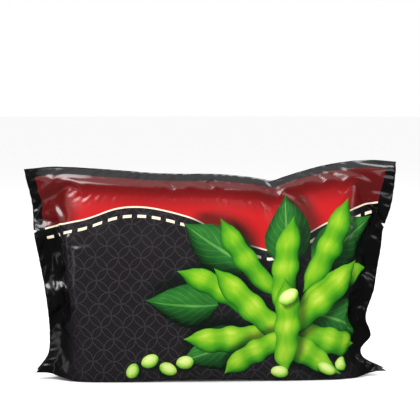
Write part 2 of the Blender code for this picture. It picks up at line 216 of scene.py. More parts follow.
# %% Folds and lumps
# points in millimetres (across, up), width in mm on the left and on the right of its run, how far out in mm
FOLDS = [
    ([(-102, 151), (-84, 142), (-60, 137.5), (-30, 136.5), (4, 138.5)], 6.5, 13.0, 1.1),
    ([(0, 142), (18, 139), (32, 139.5), (46, 135)], 5.0, 8.0, 0.6),
    ([(-74, 147), (-52, 144), (-30, 145.5)], 3.0, 3.0, 0.5),
    ([(34, 150), (41, 143), (48, 135), (51, 124)], 3.5, 4.5, 1.0),
    ([(-118, 156), (-117, 140), (-114, 125), (-106, 108)], 8.0, 3.5, -2.2),
    ([(-138, 120), (-126, 118.5), (-116, 115.5), (-100, 106)], 3.0, 8.0, -1.8),
    ([(-118, 134), (-112, 126), (-105, 116)], 2.0, 3.0, 0.6),
    ([(-136, 103), (-122, 106), (-106, 106)], 2.8, 2.8, 1.0),
    ([(-114, 100), (-100, 98), (-80, 101)], 2.5, 6.0, 0.6),
    ([(-102, 112), (-105, 94), (-104, 70), (-102, 42)], 5.0, 4.0, -1.2),
    ([(60, 149), (84, 142), (110, 141)], 5.0, 9.0, 0.9),
    ([(118, 154), (111, 134), (114, 112)], 4.0, 5.0, -1.2),
]
FOLD_CREST = 1.4  # 1 is a straight-sided ridge, and more is a sharper one
CRINKLE = 0.0007
LUMP = 0.00010
lump_draw = random.Random(3)
LUMP_WAVES = [  # length, direction, start
    (lump_draw.uniform(0.022, 0.060), lump_draw.uniform(0, math.pi), lump_draw.uniform(0, 2 * math.pi))
    for _ in range(14)
]


def fold_height(x, z):
    """How far the folds stand out of the front web."""
    total = np.zeros(np.shape(x))
    for points, left_width, right_width, out in FOLDS:
        nearest = np.full(np.shape(x), np.inf)
        reached = np.zeros(np.shape(x))
        width = np.ones(np.shape(x))
        for i, ((x0, z0), (x1, z1)) in enumerate(zip(points, points[1:])):
            run, climb = x1 - x0, z1 - z0
            along, up = 1000 * x - x0, 1000 * z - z0
            share = np.clip((along * run + up * climb) / math.hypot(run, climb) ** 2, 0, 1)
            away = np.hypot(along - share * run, up - share * climb)
            side_width = np.where(run * up - climb * along > 0, left_width, right_width)
            width = np.where(away < nearest, side_width, width)
            reached = np.where(away < nearest, (i + share) / (len(points) - 1), reached)
            nearest = np.minimum(away, nearest)
        crest = np.clip(1 - nearest / width, 0, 1) ** FOLD_CREST
        total += out / 1000 * np.sin(math.pi * reached) * crest
    return total


def crinkle_height(x, z):
    """Fine upright crinkles, 5.4 mm apart, in the loose film beside the left seal."""
    place = soft_step(x, -0.099, -0.107) * soft_step(z, 0.046, 0.058) * soft_step(z, 0.108, 0.100)
    upright = np.sin(2 * math.pi * x / 0.0054 + 1.7 * np.sin(2 * math.pi * z / 0.033))
    return CRINKLE * place * upright * (0.6 + 0.4 * np.sin(2 * math.pi * (z / 0.021 + x / 0.013)))


def lump_height(x, z):
    """How far the contents push the web out or let it in."""
    waves = sum(np.sin(2 * math.pi * (x * math.cos(turn) + z * math.sin(turn)) / length + start)
                for length, turn, start in LUMP_WAVES)
    return LUMP * waves * wall_rise(x, z) * soft_step(z, 0, 0.02) * soft_step(z, 0.135, 0.115)


print(len(FOLDS), "folds, up to", max(abs(out) for *_, out in FOLDS), "mm high")

# %% [markdown]
# ## Flat webs laid over the form
# Each web starts as a flat rectangle of film. Laying it on the form means walking over the surface and
# putting the grid's points down at equal distances, first across and then up. A Shrinkwrap modifier would
# also lay a grid on a form, but its cells would stretch on the walls. The same flat coordinates later place
# the print, so the print bends with the film as it does on a real pouch.

# %% Lay the webs on the form
SIDES = np.array([-1.0, 1.0])  # front and back
TOP_SEAL_FLAT = 0.0075
ACROSS_STEPS, BODY_STEPS, SEAL_STEPS = 320, 240, 20  # how finely the way over the form is measured
LEVELS = np.linspace(0, 0.166, 167)
FOLLOWS_FROM, FOLLOWS_TO = 0.0045, 0.0005  # half depths between which the back web takes up the front's folds


def way_along(points):
    """How far along a line of points each of them is."""
    return np.concatenate([[0], np.cumsum(np.linalg.norm(np.diff(points, axis=0), axis=1))])


def stations(columns):
    """The x of every column of the flat web at every level, wrapped over the body."""
    seal = SIDE_SEAL / FLAT_WIDTH
    across = np.linspace(0, 1, columns)
    in_left = across < seal
    in_right = across > 1 - seal
    table = np.empty((len(LEVELS), columns))
    for row, z in zip(table, LEVELS):
        left, right = LEFT_SEAL_LINE(z), RIGHT_SEAL_LINE(z)
        places = np.linspace(left, right, ACROSS_STEPS)
        travelled = way_along(np.stack([places, half_depth(places, z)], axis=1))
        row[:] = np.interp((across - seal) / (1 - 2 * seal) * travelled[-1], travelled, places)
        row[in_left] = LEFT_EDGE(z) + (left - LEFT_EDGE(z)) * across[in_left] / seal
        row[in_right] = RIGHT_EDGE(z) + (right - RIGHT_EDGE(z)) * (1 - across[in_right]) / seal
    return table


def lay_webs(columns, rows):
    """Both webs as one array of points, [side, row, column, xyz], resting on the form without a wrinkle."""
    table = stations(columns)
    flat_heights = np.linspace(0, FLAT_HEIGHT, rows)
    webs = np.empty((2, rows, columns, 3))
    for column, flat_x in enumerate(np.linspace(-0.5, 0.5, columns) * FLAT_WIDTH):
        seal_line = top_seal_line(flat_x)
        body = np.linspace(BOTTOM_EDGE(flat_x), seal_line, BODY_STEPS)
        z = np.concatenate([body, np.linspace(seal_line, TOP_EDGE(flat_x), SEAL_STEPS)[1:]])
        x = np.interp(z, LEVELS, table[:, column])
        depth = half_depth(x, z)
        folded = fold_height(x, z) + crinkle_height(x, z)
        sealed = np.clip((depth - FOLLOWS_FROM) / (FOLLOWS_TO - FOLLOWS_FROM), 0, 1)
        for web, side, followed in zip(webs, SIDES, (1, sealed)):
            out = side * (depth + lump_height(side * x, z)) - folded * followed
            points = np.stack([x, seal_plane(x, z) + out, z], axis=1)
            travelled = way_along(points)
            marks = travelled[[0, BODY_STEPS - 1, -1]]
            flat = np.interp(travelled, marks, [0, FLAT_HEIGHT - TOP_SEAL_FLAT, FLAT_HEIGHT])
            for axis in range(3):
                web[:, column, axis] = np.interp(flat_heights, flat, points[:, axis])
    return webs


print("each web is a flat", [1000 * FLAT_WIDTH, 1000 * FLAT_HEIGHT], "mm rectangle before it is laid")

# %% [markdown]
# ## Letting the film settle
# Film bends easily but hardly stretches or shrinks. Where a web is a little longer than the form beneath
# it, it has to buckle, and that is where the puckers beside the seals come from. The form alone can't show
# them. Blender's Cloth modifier would be the usual tool. Here both webs share their heat seals and the
# outline is known, so a small solver in numpy is simpler, and always gives the same result. It repeats one
# rule: move each pair of neighbours half-way back to their own distance. The outline stays where it is, the
# contents hold the face from inside, and the webs can't pass through each other.

# %% Pairs of neighbours
ACROSS, UP, SLANTED = 2, 1, 0  # how a pair lies. The first two are also the axes of a web array
BEND = 0.35  # how strongly a sharp bend opens again
SHEAR = 0.4  # how strongly the grid's cells keep their diagonals


def neighbours(axis, parity, step=1):
    """Two slices of a web array that pair each point with one a few steps along. No point is in two pairs."""
    first, second = [slice(None)] * 4, [slice(None)] * 4
    first[axis] = slice(parity, -step, 2 * step)
    second[axis] = slice(parity + step, None, 2 * step)
    return tuple(first), tuple(second)


def diagonals(parity, lean):
    """The same for one of the two diagonals of the grid's cells."""
    low, high = slice(None, -1), slice(1, None)
    if lean < 0:
        low, high = high, low
    every = slice(None)
    return (every, slice(parity, -1, 2), low, every), (every, slice(parity + 1, None, 2), high, every)


def all_pairs():
    """Every set of pairs: how they lie, how stiffly they are restored, and if they only resist a squeeze."""
    near = [(neighbours(axis, parity), axis, 1.0, False) for axis in (ACROSS, UP) for parity in (0, 1)]
    slanted = [(diagonals(parity, lean), SLANTED, SHEAR, False) for parity in (0, 1) for lean in (1, -1)]
    wider = [(neighbours(axis, parity, 2), axis, BEND, True) for axis in (ACROSS, UP) for parity in range(4)]
    return near + slanted + wider


def span(points, pair):
    """The way from each point of a pair to the other, and its length."""
    gap = points[pair[1]] - points[pair[0]]
    return gap, np.sqrt(np.einsum("...i,...i", gap, gap))[..., None] + 1e-9


print(len(all_pairs()), "sets of pairs")

# %% Normals, finer grids and flat places
def outward(webs):
    """Unit normals that point out of the pouch."""
    normals = np.cross(np.gradient(webs, axis=2), np.gradient(webs, axis=1)) * -SIDES[:, None, None, None]
    return normals / (np.linalg.norm(normals, axis=-1, keepdims=True) + 1e-12)


def finer(grid):
    """The same field on a grid of half the spacing."""
    for axis in (1, 2):
        first = np.moveaxis(grid, axis, 0)
        twice = np.empty((2 * len(first) - 1, *first.shape[1:]))
        twice[::2] = first
        twice[1::2] = (first[1:] + first[:-1]) / 2
        grid = np.moveaxis(twice, 0, axis)
    return grid


def flat_places(webs):
    """Flat coordinates of a web's points: across from the middle, and up from the bottom edge."""
    rows, columns = webs.shape[1:3]
    return np.meshgrid(np.linspace(-0.5, 0.5, columns) * FLAT_WIDTH, np.linspace(0, FLAT_HEIGHT, rows))


def looseness(webs):
    """How much longer the film is than the form, across and up, as a share of its length, at each point."""
    x, z = flat_places(webs)
    near_side = soft_step(FLAT_WIDTH / 2 - np.abs(x), 0.045, 0.015)
    near_top = soft_step(z, 0.118, 0.143)
    near_floor = soft_step(z, 0.030, 0.005)
    left_fin = near_side * (x < 0) * soft_step(z, 0.03, 0.05) * soft_step(z, 0.125, 0.105)
    across = 0.002 + 0.020 * left_fin + 0.004 * near_top + 0.010 * near_floor * near_side
    up = 0.003 + 0.035 * near_side + 0.018 * near_top
    return across[None, :, :, None], up[None, :, :, None]


def contents_room(webs):
    """How far the film may move in and out of the form, and how firmly the form holds it, at each point. Over
    the contents it has little room, and by the seals more."""
    x, z = flat_places(webs)
    free = np.maximum(soft_step(FLAT_WIDTH / 2 - np.abs(x), 0.055, 0.025), soft_step(z, 0.115, 0.145))
    return (0.0006 + 0.0032 * free)[None], (0.0010 + 0.0022 * free)[None], (0.030 * (1 - free))[None]


print("the film may move by 0.6 to", 0.6 + 3.2, "mm into the form, and by 1 to", 1.0 + 2.2, "mm off it")

# %% The solver
KEPT_MOTION = 0.9  # of each round's drift, carried on into the next
OUTLINE_PULL = np.array([0.6, 0.03, 0.6])  # how strongly the outline is held each round, along x, y and z
LEAST_GAP = 0.0005  # between the webs inside the seals


def seal_slices(webs):
    """The rows and columns of one web that lie in the left, right and top seals."""
    columns = round(SIDE_SEAL / FLAT_WIDTH * (webs.shape[2] - 1))
    rows = round(TOP_SEAL_FLAT / FLAT_HEIGHT * (webs.shape[1] - 1))
    return np.s_[:, :columns + 1], np.s_[:, -columns - 1:], np.s_[-rows - 1:]


def restore(webs, pair, rest, stiffness, push_only):
    """Move the points of each pair half-way each towards their own distance."""
    gap, length = span(webs, pair)
    share = 1 - rest / length
    if push_only:
        share = np.minimum(share, 0)
    move = gap * (0.5 * stiffness * share)
    webs[pair[0]] += move
    webs[pair[1]] -= move


def hold_edges(webs, form):
    """Pull the sides and the top back to the outline, and keep the bottom edge in place."""
    for edge in (np.s_[:, :, 0], np.s_[:, :, -1], np.s_[:, -1]):
        webs[edge] += OUTLINE_PULL * (form[edge] - webs[edge])
    webs[:, 0] = form[:, 0]


def join_and_part(webs, half_gap, seals):
    """Bring the webs together in the seals, and keep them from crossing elsewhere."""
    for seal in seals:
        middle = (webs[0][seal] + webs[1][seal]) / 2
        webs[0][seal] = middle - half_gap[seal]
        webs[1][seal] = middle + half_gap[seal]
    overlap = np.maximum(LEAST_GAP - (webs[1, ..., 1] - webs[0, ..., 1]), 0) / 2
    for seal in seals:
        overlap[seal] = 0
    webs[0, ..., 1] -= overlap
    webs[1, ..., 1] += overlap


def settle(webs, form, rounds, room_in, room_out, hold):
    """Relax the webs. They may move off the form by room_in and room_out, as firmly held as 'hold' says."""
    across, up = looseness(webs)
    loose = {ACROSS: across, UP: up, SLANTED: (across + up) / 2}
    work = []
    for pair, lies, stiffness, push_only in all_pairs():
        longer = 1 + np.broadcast_to(loose[lies], (*form.shape[:3], 1))[pair[0]]
        work.append((pair, span(form, pair)[1] * longer, stiffness, push_only))
    seals = seal_slices(webs)
    half_gap = (form[1] - form[0]) / 2
    normals = outward(form)
    before = webs.copy()
    for _ in range(rounds):
        drift = webs - before
        before = webs.copy()
        webs += KEPT_MOTION * drift
        for pair, rest, stiffness, push_only in work:
            restore(webs, pair, rest, stiffness, push_only)
        off = np.einsum("...i,...i", webs - form, normals)
        held = np.clip(off, -room_in, room_out) * (1 - hold)
        webs += (held - off)[..., None] * normals
        hold_edges(webs, form)
        join_and_part(webs, half_gap, seals)
    return webs


print("solver ready; each round keeps", KEPT_MOTION, "of the last one's motion")

# %% [markdown]
# ## From coarse to fine
# Big folds need many rounds to travel over a fine grid. So the film first settles on a coarse grid, whose
# cells are 5 mm wide, and the grid is then halved twice, as a Multiresolution modifier would do it. The big
# folds come first and the fine puckers last. A slight random ripple at each level gives the buckles
# somewhere to start, and its seed is fixed, so they are the same each time.

# %% Settle the webs
COARSE = (57, 33)  # columns and rows
ROUNDS = (300, 260, 220)
FIRST_RIPPLE = 0.0004

columns, rows = COARSE
draw = np.random.default_rng(5)
offsets = None
for rounds in ROUNDS:
    form = lay_webs(columns, rows)
    webs = form.copy() if offsets is None else form + finer(offsets)
    ripple = FIRST_RIPPLE * draw.standard_normal((2, rows - 2, columns - 2, 1))
    webs[:, 1:-1, 1:-1] += ripple * outward(form)[:, 1:-1, 1:-1]
    webs = settle(webs, form, rounds, *contents_room(form))
    offsets = webs - form
    columns, rows = 2 * columns - 1, 2 * rows - 1
print("film settled; it moved off the form by up to", round(1000 * float(np.abs(offsets).max()), 1), "mm")

# %% [markdown]
# ## Tear notches
# A small V in each side seal lets the user start a tear. A Boolean could cut it, but it would break the
# grid's rows and columns. So at one row of the grid the points of the seal are drawn together towards its
# inner line, and the edge runs in and out again. Both webs get it in the same place, and the flat
# coordinates move along, so that the print isn't squeezed.

# %% Cut the notches
NOTCH_DEPTH = 0.003
NOTCHES = ((0.110, 1), (0.113, -1))  # height, and whether the columns are counted from the left or the right

seal_steps = round(SIDE_SEAL / FLAT_WIDTH * (webs.shape[2] - 1))
start = NOTCH_DEPTH / SIDE_SEAL * seal_steps
drawn_in = start + (seal_steps - start) * np.arange(seal_steps + 1) / seal_steps
flat_front = np.stack(flat_places(webs), axis=-1)
for height, way in NOTCHES:
    row = int(np.argmin(np.abs(webs[0, :, ::way][:, 0, 2] - height)))
    for grid in (*webs, flat_front):
        strip = grid[row, ::way][:seal_steps + 1]
        kept = strip.copy()
        for axis in range(strip.shape[1]):
            strip[:, axis] = np.interp(drawn_in, np.arange(seal_steps + 1), kept[:, axis])
flat_back = (flat_front * (-1, 1))[:, ::-1]  # seen from behind, left is +X
print("notches cut", 1000 * NOTCH_DEPTH, "mm deep")

# %% [markdown]
# ## Materials
# Printed pouches are made of a clear outer film, PET about 12 microns thick, printed in reverse on its
# inner side and glued to a tough sealing layer of polyethylene. So the ink lies under a smooth clear skin:
# its colours are even and saturated, and every highlight is white and glossy. A Principled shader with the
# print as base colour, the refractive index of PET and a low roughness gives that. Colours are written as
# sRGB hex values and turned to linear by one function, and one more adds a node with its settings and its
# links.

# %% Helpers for materials
MATH = "ShaderNodeMath"
MIX = "ShaderNodeMix"
RANGE = "ShaderNodeMapRange"
NOISE = "ShaderNodeTexNoise"
SPLIT = "ShaderNodeSeparateXYZ"
SOFT = {"interpolation_type": "SMOOTHSTEP"}  # makes a Map Range node a soft step from its start to its end
COLOURS = {"data_type": "RGBA", "out": 2}  # makes a Mix node mix colours. Their sockets are 6, 7 and output 2


def colour_of(code):
    """Linear red, green, blue and alpha of an sRGB hex value such as "#c81e1e"."""
    parts = [int(code[i:i + 2], 16) / 255 for i in (1, 3, 5)]
    return (*(p / 12.92 if p <= 0.04045 else ((p + 0.055) / 1.055) ** 2.4 for p in parts), 1.0)


def new_material(name, settings):
    """A material with these settings of its Principled shader. Gives it, its node tree and the shader."""
    made = bpy.data.materials.new(name)
    made.use_nodes = True
    shader = made.node_tree.nodes["Principled BSDF"]
    for title, value in settings.items():
        shader.inputs[title].default_value = value
    return made, made.node_tree, shader


def add_node(tree, kind, inputs=(), out=0, **settings):
    """Add a node with its settings and links, and give one of its outputs. 'inputs' are other nodes' outputs
    or plain values, in the order of the node's sockets, or in a dictionary by their place or name."""
    made = tree.nodes.new(kind)
    for name, value in settings.items():
        setattr(made, name, value)
    for place, value in inputs.items() if isinstance(inputs, dict) else enumerate(inputs):
        if isinstance(value, bpy.types.NodeSocket):
            tree.links.new(value, made.inputs[place])
        else:
            made.inputs[place].default_value = value
    return made.outputs[out]


def run_through(output, points):
    """Run the curve of the Float Curve node that gives this output smoothly through a few points."""
    mapping = output.node.mapping
    line = mapping.curves[0].points
    line[0].location = points[0]
    line[1].location = points[-1]
    for point in points[1:-1]:
        line.new(*point)
    mapping.update()
    return output


def set_stops(output, stops):
    """Set the colours of the Color Ramp node that gives this output. Each stop is a place and a hex value."""
    ramp = output.node.color_ramp
    for element, (place, code) in zip(ramp.elements, (stops[0], stops[-1])):
        element.color = colour_of(code)
        element.position = place
    for place, code in stops[1:-1]:
        ramp.elements.new(place).color = colour_of(code)
    return output


print("sRGB #808080 is", round(colour_of("#808080")[0], 3), "in linear light")

# %% Two patterns that come back on the print
def band(tree, value, middle, half, edge):
    """1 where a value is within 'half' of a middle, and 0 elsewhere, with an edge that is soft both ways."""
    off = add_node(tree, MATH, [value, middle], operation="SUBTRACT")
    away = add_node(tree, MATH, [off], operation="ABSOLUTE")
    return add_node(tree, RANGE, [away, half + edge, half - edge], **SOFT)


def beats(tree, value, period, start, end, most=1.0):
    """Bars across a value, one each period: a sine wave, cut off softly between start and end."""
    turns = add_node(tree, MATH, [value, 2 * math.pi / period], operation="MULTIPLY")
    wave = add_node(tree, MATH, [turns], operation="SINE")
    return add_node(tree, RANGE, [wave, start, end, 0.0, most], **SOFT)


print("patterns: band and beats")

# %% [markdown]
# ## The printed pictures
# The front shows a loose spray of soybean: leaves, pods and shelled beans. A picture file would be the
# usual way. Here each kind of picture is one node group, drawn from its outline: half the width at each
# place along it is a curve, and the roundness across it shades it. The group paints its picture and a soft
# shadow over the colours it is given. A Mapping node then puts each copy in its place, so it stays sharp at
# any size.

# %% The colour of a picture
TONE_SHARE = 0.70  # turns the sum of all shading into a place on the colour ramp
MOTTLE = 0.40  # how much the blotches add
VEIN_SPACING = 2 * math.pi / 24  # in a picture's own coordinates
VEIN_SWEEP = -0.9  # the veins run forward on both sides of the middle one


def picture_colour(group, given, along, side, hump, stops, veins):
    """Round across and humped along, lit from one side, mottled, and veined if it is a leaf. 'side' is -1
    and 1 at the outline."""
    from_middle = add_node(group, MATH, [side], operation="ABSOLUTE")
    bulge = add_node(group, MATH, [from_middle, 2.0], operation="POWER")
    # A Math node's own clamp would do this too, but Cycles has little room for values, and that takes more
    inside = add_node(group, MATH, [bulge, 1.0], operation="MINIMUM")
    left_over = add_node(group, MATH, [1.0, inside], operation="SUBTRACT")
    facing = add_node(group, MATH, [left_over], operation="SQRT")
    rounded = add_node(group, MATH, [facing, hump], operation="MULTIPLY")
    clipped = add_node(group, MATH, [side, -1.0], operation="MAXIMUM")
    lit = add_node(group, MATH, [clipped, given["Light across"], rounded], operation="MULTIPLY_ADD")
    blotch = add_node(group, NOISE, {"Vector": given["Place"], "Scale": 2.6, "Detail": 5.0})
    mottled = add_node(group, MATH, [blotch, MOTTLE, lit], operation="MULTIPLY_ADD")
    tone = add_node(group, MATH, [mottled, given["Tone"]], operation="ADD")
    if veins:
        swept = add_node(group, MATH, [from_middle, VEIN_SWEEP, along], operation="MULTIPLY_ADD")
        fine = beats(group, swept, VEIN_SPACING, 0.80, 1.0, veins)
        middle = add_node(group, RANGE, [from_middle, 0.09, 0.03, 0.0, 2 * veins], **SOFT)
        vein = add_node(group, MATH, [fine, middle], operation="MAXIMUM")
        tone = add_node(group, MATH, [tone, vein], operation="ADD")
    level = add_node(group, MATH, [tone, TONE_SHARE], operation="MULTIPLY")
    return set_stops(add_node(group, "ShaderNodeValToRGB", [level]), stops)


# %% One node group for each kind of picture
SHADOW_COLOUR = colour_of("#05120a")
SHADOW_DROP = 0.35  # how far the shadow lies off the picture, and how far it reaches past it
SHADOW_REACH = 0.30
SHADOW_DEPTH = 0.72
GIVEN = {"Place": "Vector", "Under": "Color", "Bend": "Float", "Light across": "Float", "Tone": "Float"}


def picture_group(name, outline, humps, stops, veins=0.0):
    """A picture in coordinates from -1 to 1 along and across. 'outline' and 'humps' are curves along it."""
    group = bpy.data.node_groups.new(name, "ShaderNodeTree")
    for title, kind in GIVEN.items():
        group.interface.new_socket(title, in_out="INPUT", socket_type="NodeSocket" + kind)
    group.interface.new_socket("Over", in_out="OUTPUT", socket_type="NodeSocketColor")
    given = group.nodes.new("NodeGroupInput").outputs

    # Where a point is: along the picture, and off its bent spine as a share of half its width there
    along, across = add_node(group, SPLIT, [given["Place"]]).node.outputs[:2]
    squared = add_node(group, MATH, [along, along], operation="MULTIPLY")
    arch = add_node(group, MATH, [squared, -1, 1], operation="MULTIPLY_ADD")
    lift = add_node(group, MATH, [arch, given["Bend"]], operation="MULTIPLY")
    from_spine = add_node(group, MATH, [across, lift], operation="SUBTRACT")
    share = add_node(group, MATH, [along, 0.5, 0.5], operation="MULTIPLY_ADD")
    width = run_through(add_node(group, "ShaderNodeFloatCurve", {"Value": share}), outline)
    half = add_node(group, MATH, [width, 0.001], operation="MAXIMUM")
    hump = run_through(add_node(group, "ShaderNodeFloatCurve", {"Value": share}), humps)
    side = add_node(group, MATH, [from_spine, half], operation="DIVIDE")
    in_width = band(group, side, 0.0, 0.965, 0.035)
    in_length = add_node(group, MATH, [squared, 1.0], operation="LESS_THAN")
    cover = add_node(group, MATH, [in_width, in_length], operation="MULTIPLY")

    # Its shadow, which is a wider copy of the outline, a little lower
    lower = add_node(group, MATH, [from_spine, SHADOW_DROP], operation="ADD")
    wider = add_node(group, MATH, [half, SHADOW_REACH], operation="ADD")
    off_shadow = add_node(group, MATH, [lower, wider], operation="DIVIDE")
    depth = add_node(group, MATH, [off_shadow], operation="ABSOLUTE")
    shade = add_node(group, RANGE, [depth, 1.15, 0.55, 0.0, SHADOW_DEPTH], **SOFT)
    inside_ends = add_node(group, RANGE, [squared, 1.05, 0.35], **SOFT)
    shadow = add_node(group, MATH, [shade, inside_ends], operation="MULTIPLY")

    colour = picture_colour(group, given, along, side, hump, stops, veins)
    darker = add_node(group, MIX, {0: shadow, 6: given["Under"], 7: SHADOW_COLOUR}, **COLOURS)
    over = add_node(group, MIX, {0: cover, 6: darker, 7: colour}, **COLOURS)
    group.links.new(over, group.nodes.new("NodeGroupOutput").inputs["Over"])
    return group


print("a picture group is given", list(GIVEN))

# %% Pod, bean and leaf
# A curve's points are (share of the length, share of half the width or of the height)
POD_OUTLINE = [
    (0, 0.0), (0.03, 0.10), (0.10, 0.42), (0.20, 0.80), (0.30, 0.86), (0.38, 0.80), (0.50, 0.98),
    (0.62, 0.82), (0.72, 0.88), (0.82, 0.72), (0.92, 0.30), (0.97, 0.10), (1, 0.0)]
POD_HUMPS = [
    (0, 0.50), (0.10, 0.62), (0.23, 0.86), (0.37, 0.66), (0.50, 0.92), (0.63, 0.66), (0.75, 0.86),
    (0.90, 0.60), (1, 0.50)]
POD_TONES = [
    (0.06, "#082a04"), (0.32, "#1e6f08"), (0.50, "#3f8f09"), (0.66, "#66a50f"), (0.80, "#8cb81e"),
    (0.95, "#bccf55")]
BEAN_OUTLINE = [
    (0, 0.0), (0.03, 0.34), (0.12, 0.65), (0.30, 0.92), (0.5, 1.0), (0.70, 0.92), (0.88, 0.65), (0.97, 0.34),
    (1, 0.0)]
BEAN_HUMPS = [(0, 0.35), (0.5, 0.9), (1, 0.35)]
BEAN_TONES = [(0.06, "#1a4a0c"), (0.34, "#56941f"), (0.58, "#94c23f"), (0.90, "#dbe795")]
LEAF_OUTLINE = [
    (0, 0.0), (0.05, 0.38), (0.20, 0.86), (0.38, 1.0), (0.60, 0.80), (0.80, 0.42), (0.95, 0.08), (1, 0.0)]
LEAF_HUMPS = [(0, 0.55), (0.5, 0.62), (1, 0.5)]
LEAF_TONES = [(0.06, "#051909"), (0.34, "#114717"), (0.60, "#2a7327"), (0.90, "#74ac52")]

pod_picture = picture_group("pod_picture", POD_OUTLINE, POD_HUMPS, POD_TONES)
bean_picture = picture_group("bean_picture", BEAN_OUTLINE, BEAN_HUMPS, BEAN_TONES)
leaf_picture = picture_group("leaf_picture", LEAF_OUTLINE, LEAF_HUMPS, LEAF_TONES, veins=0.16)
print("picture groups:", [group.name for group in bpy.data.node_groups])

# %% [markdown]
# ## A spray laid out in a list
# A printed spray is arranged by a person, so its places are a list and not a random draw: leaves at the
# back and outside, pods in a fan over them, and single beans scattered in front. Each picture covers the
# ones before it.

# %% Where the pictures go
# For each kind: across, up, turn in degrees, length, width, bend and tone. Lengths are in mm of the flat web
FRONT_SPRAY = [
    (leaf_picture, [
        (6, 104, 148, 62, 40, 0.10, -0.10), (102, 104, 34, 58, 36, -0.10, -0.12),
        (60, 118, 96, 56, 36, 0.08, -0.06), (-22, 60, 176, 56, 34, 0.15, -0.16),
        (104, 42, -20, 54, 34, 0.12, -0.15), (4, 22, 196, 58, 36, -0.1, -0.12)]),
    (pod_picture, [
        (30, 96, 128, 72, 20, 0.35, -0.06), (88, 100, 62, 74, 21, -0.35, -0.02),
        (97, 68, 24, 70, 20, 0.40, -0.04), (8, 66, 152, 74, 21, -0.35, 0.0),
        (60, 88, 84, 78, 22, 0.25, 0.04), (94, 34, -14, 70, 21, -0.30, -0.03),
        (16, 36, 186, 76, 22, 0.35, 0.02), (82, 62, 40, 80, 23, -0.30, 0.05),
        (34, 60, 140, 80, 23, 0.30, 0.06), (72, 22, -30, 70, 21, 0.30, 0.02),
        (38, 22, 212, 66, 20, -0.25, 0.0), (58, 44, 92, 74, 22, -0.2, 0.08)]),
    (bean_picture, [
        (-48, 16, 20, 14, 11, 0.0, 0.0), (-34, 9, -25, 14, 11, 0.0, 0.04),
        (-62, 9, 60, 13, 10, 0.0, -0.04), (-20, 14, 10, 14, 11, 0.0, 0.02),
        (54, 8, 15, 14, 11, 0.0, 0.06), (92, 10, -30, 14, 11, 0.0, 0.03),
        (106, 13, 40, 13, 10, 0.0, -0.02), (60, 66, 25, 15, 12, 0.0, 0.12)]),
]
BACK_SPRIG = [
    (leaf_picture, [(-104, 44, 60, 52, 32, 0.10, -0.10), (-72, 30, 8, 50, 30, -0.10, -0.14)]),
    (pod_picture, [(-92, 40, 96, 66, 19, 0.30, 0.0), (-76, 34, 40, 66, 19, -0.30, 0.03)]),
    (bean_picture, [(-44, 12, 20, 13, 10, 0.0, 0.0), (-58, 8, -25, 13, 10, 0.0, 0.04)]),
]
LIGHT_TURN = math.radians(110)  # the pictures are lit from the upper left
LIGHT_SHARE = 0.38


def paint_pictures(tree, flat, under, spray):
    """Paint each picture over the last. 'flat' is the flat web's coordinates in metres."""
    for kind, places in spray:
        for across, up, turn, length, width, bend, tone in places:
            turn = math.radians(turn)
            spot = add_node(tree, "ShaderNodeMapping", {
                "Vector": flat, "Location": (across / 1000, up / 1000, 0), "Rotation": (0, 0, turn),
                "Scale": (length / 2000, width / 2000, 1)}, vector_type="TEXTURE")
            under = add_node(tree, "ShaderNodeGroup", {
                "Place": spot, "Under": under, "Bend": bend, "Tone": tone,
                "Light across": LIGHT_SHARE * math.cos(LIGHT_TURN - turn - math.pi / 2)}, node_tree=kind)
    return under


print("pictures on the front:", {kind.name: len(places) for kind, places in FRONT_SPRAY})

# %% [markdown]
# ## The film itself
# The clear skin is the same on every web, so one function makes it and gives what the print needs. Its
# roughness of 0.22 stands for gloss film that has been handled, and a thin sharper coat gives the bright
# line along each crease. Real film has faint wrinkles all over, so a weak bump from noise breaks up the
# highlights.

# %% Glossy laminate
LAMINATE = {"IOR": 1.57, "Roughness": 0.22, "Coat Weight": 0.3, "Coat Roughness": 0.12, "Coat IOR": 1.5}
WRINKLES = 260.0  # per metre, which is one in 4 mm


def laminate(name):
    """A clear glossy film over its ink. Gives the material, its node tree and shader, and the flat places."""
    made, tree, shader = new_material(name, LAMINATE)
    flat = add_node(tree, "ShaderNodeUVMap", uv_map="flat_web")
    wrinkle = add_node(tree, NOISE, {"Vector": flat, "Scale": WRINKLES, "Detail": 2.0})
    bump = add_node(tree, "ShaderNodeBump", {"Height": wrinkle, "Strength": 0.06, "Distance": 0.0004})
    tree.links.new(bump, shader.inputs["Normal"])
    return made, tree, shader, flat


print("laminate:", LAMINATE)

# %% [markdown]
# ## The ground of the print
# Under the pictures the ink is nearly black, with a deep red field along the top. Painted shade darkens the
# red towards the top and the sides, and the black towards the sides. A traditional pattern of interlocking
# rings, each crossing four others, is printed tone on tone where the web is otherwise bare.
# The red field ends in a long wave with a cream line, and a row of cream dashes runs below it. The sealed
# edges are left black. All of it is worked out from the flat coordinates, so it stays sharp from close by.

# %% Rings and waves
RING_RADIUS = 0.0085
RING_LINE = 0.00045  # half its width


def ring_pattern(tree, across, up):
    """1 on the lines of interlocking rings: two square lattices of circles, half a step apart."""
    lines = []
    for shift in (0, RING_RADIUS):
        squares = []
        for place in (across, up):
            moved = add_node(tree, MATH, [place, shift], operation="ADD")
            cell = add_node(tree, MATH, [moved, RING_RADIUS, -RING_RADIUS], operation="WRAP")
            squares.append(add_node(tree, MATH, [cell, cell], operation="MULTIPLY"))
        both = add_node(tree, MATH, squares, operation="ADD")
        reach = add_node(tree, MATH, [both], operation="SQRT")
        lines.append(band(tree, reach, RING_RADIUS, RING_LINE, 0.00015))
    return add_node(tree, MATH, lines, operation="MAXIMUM")


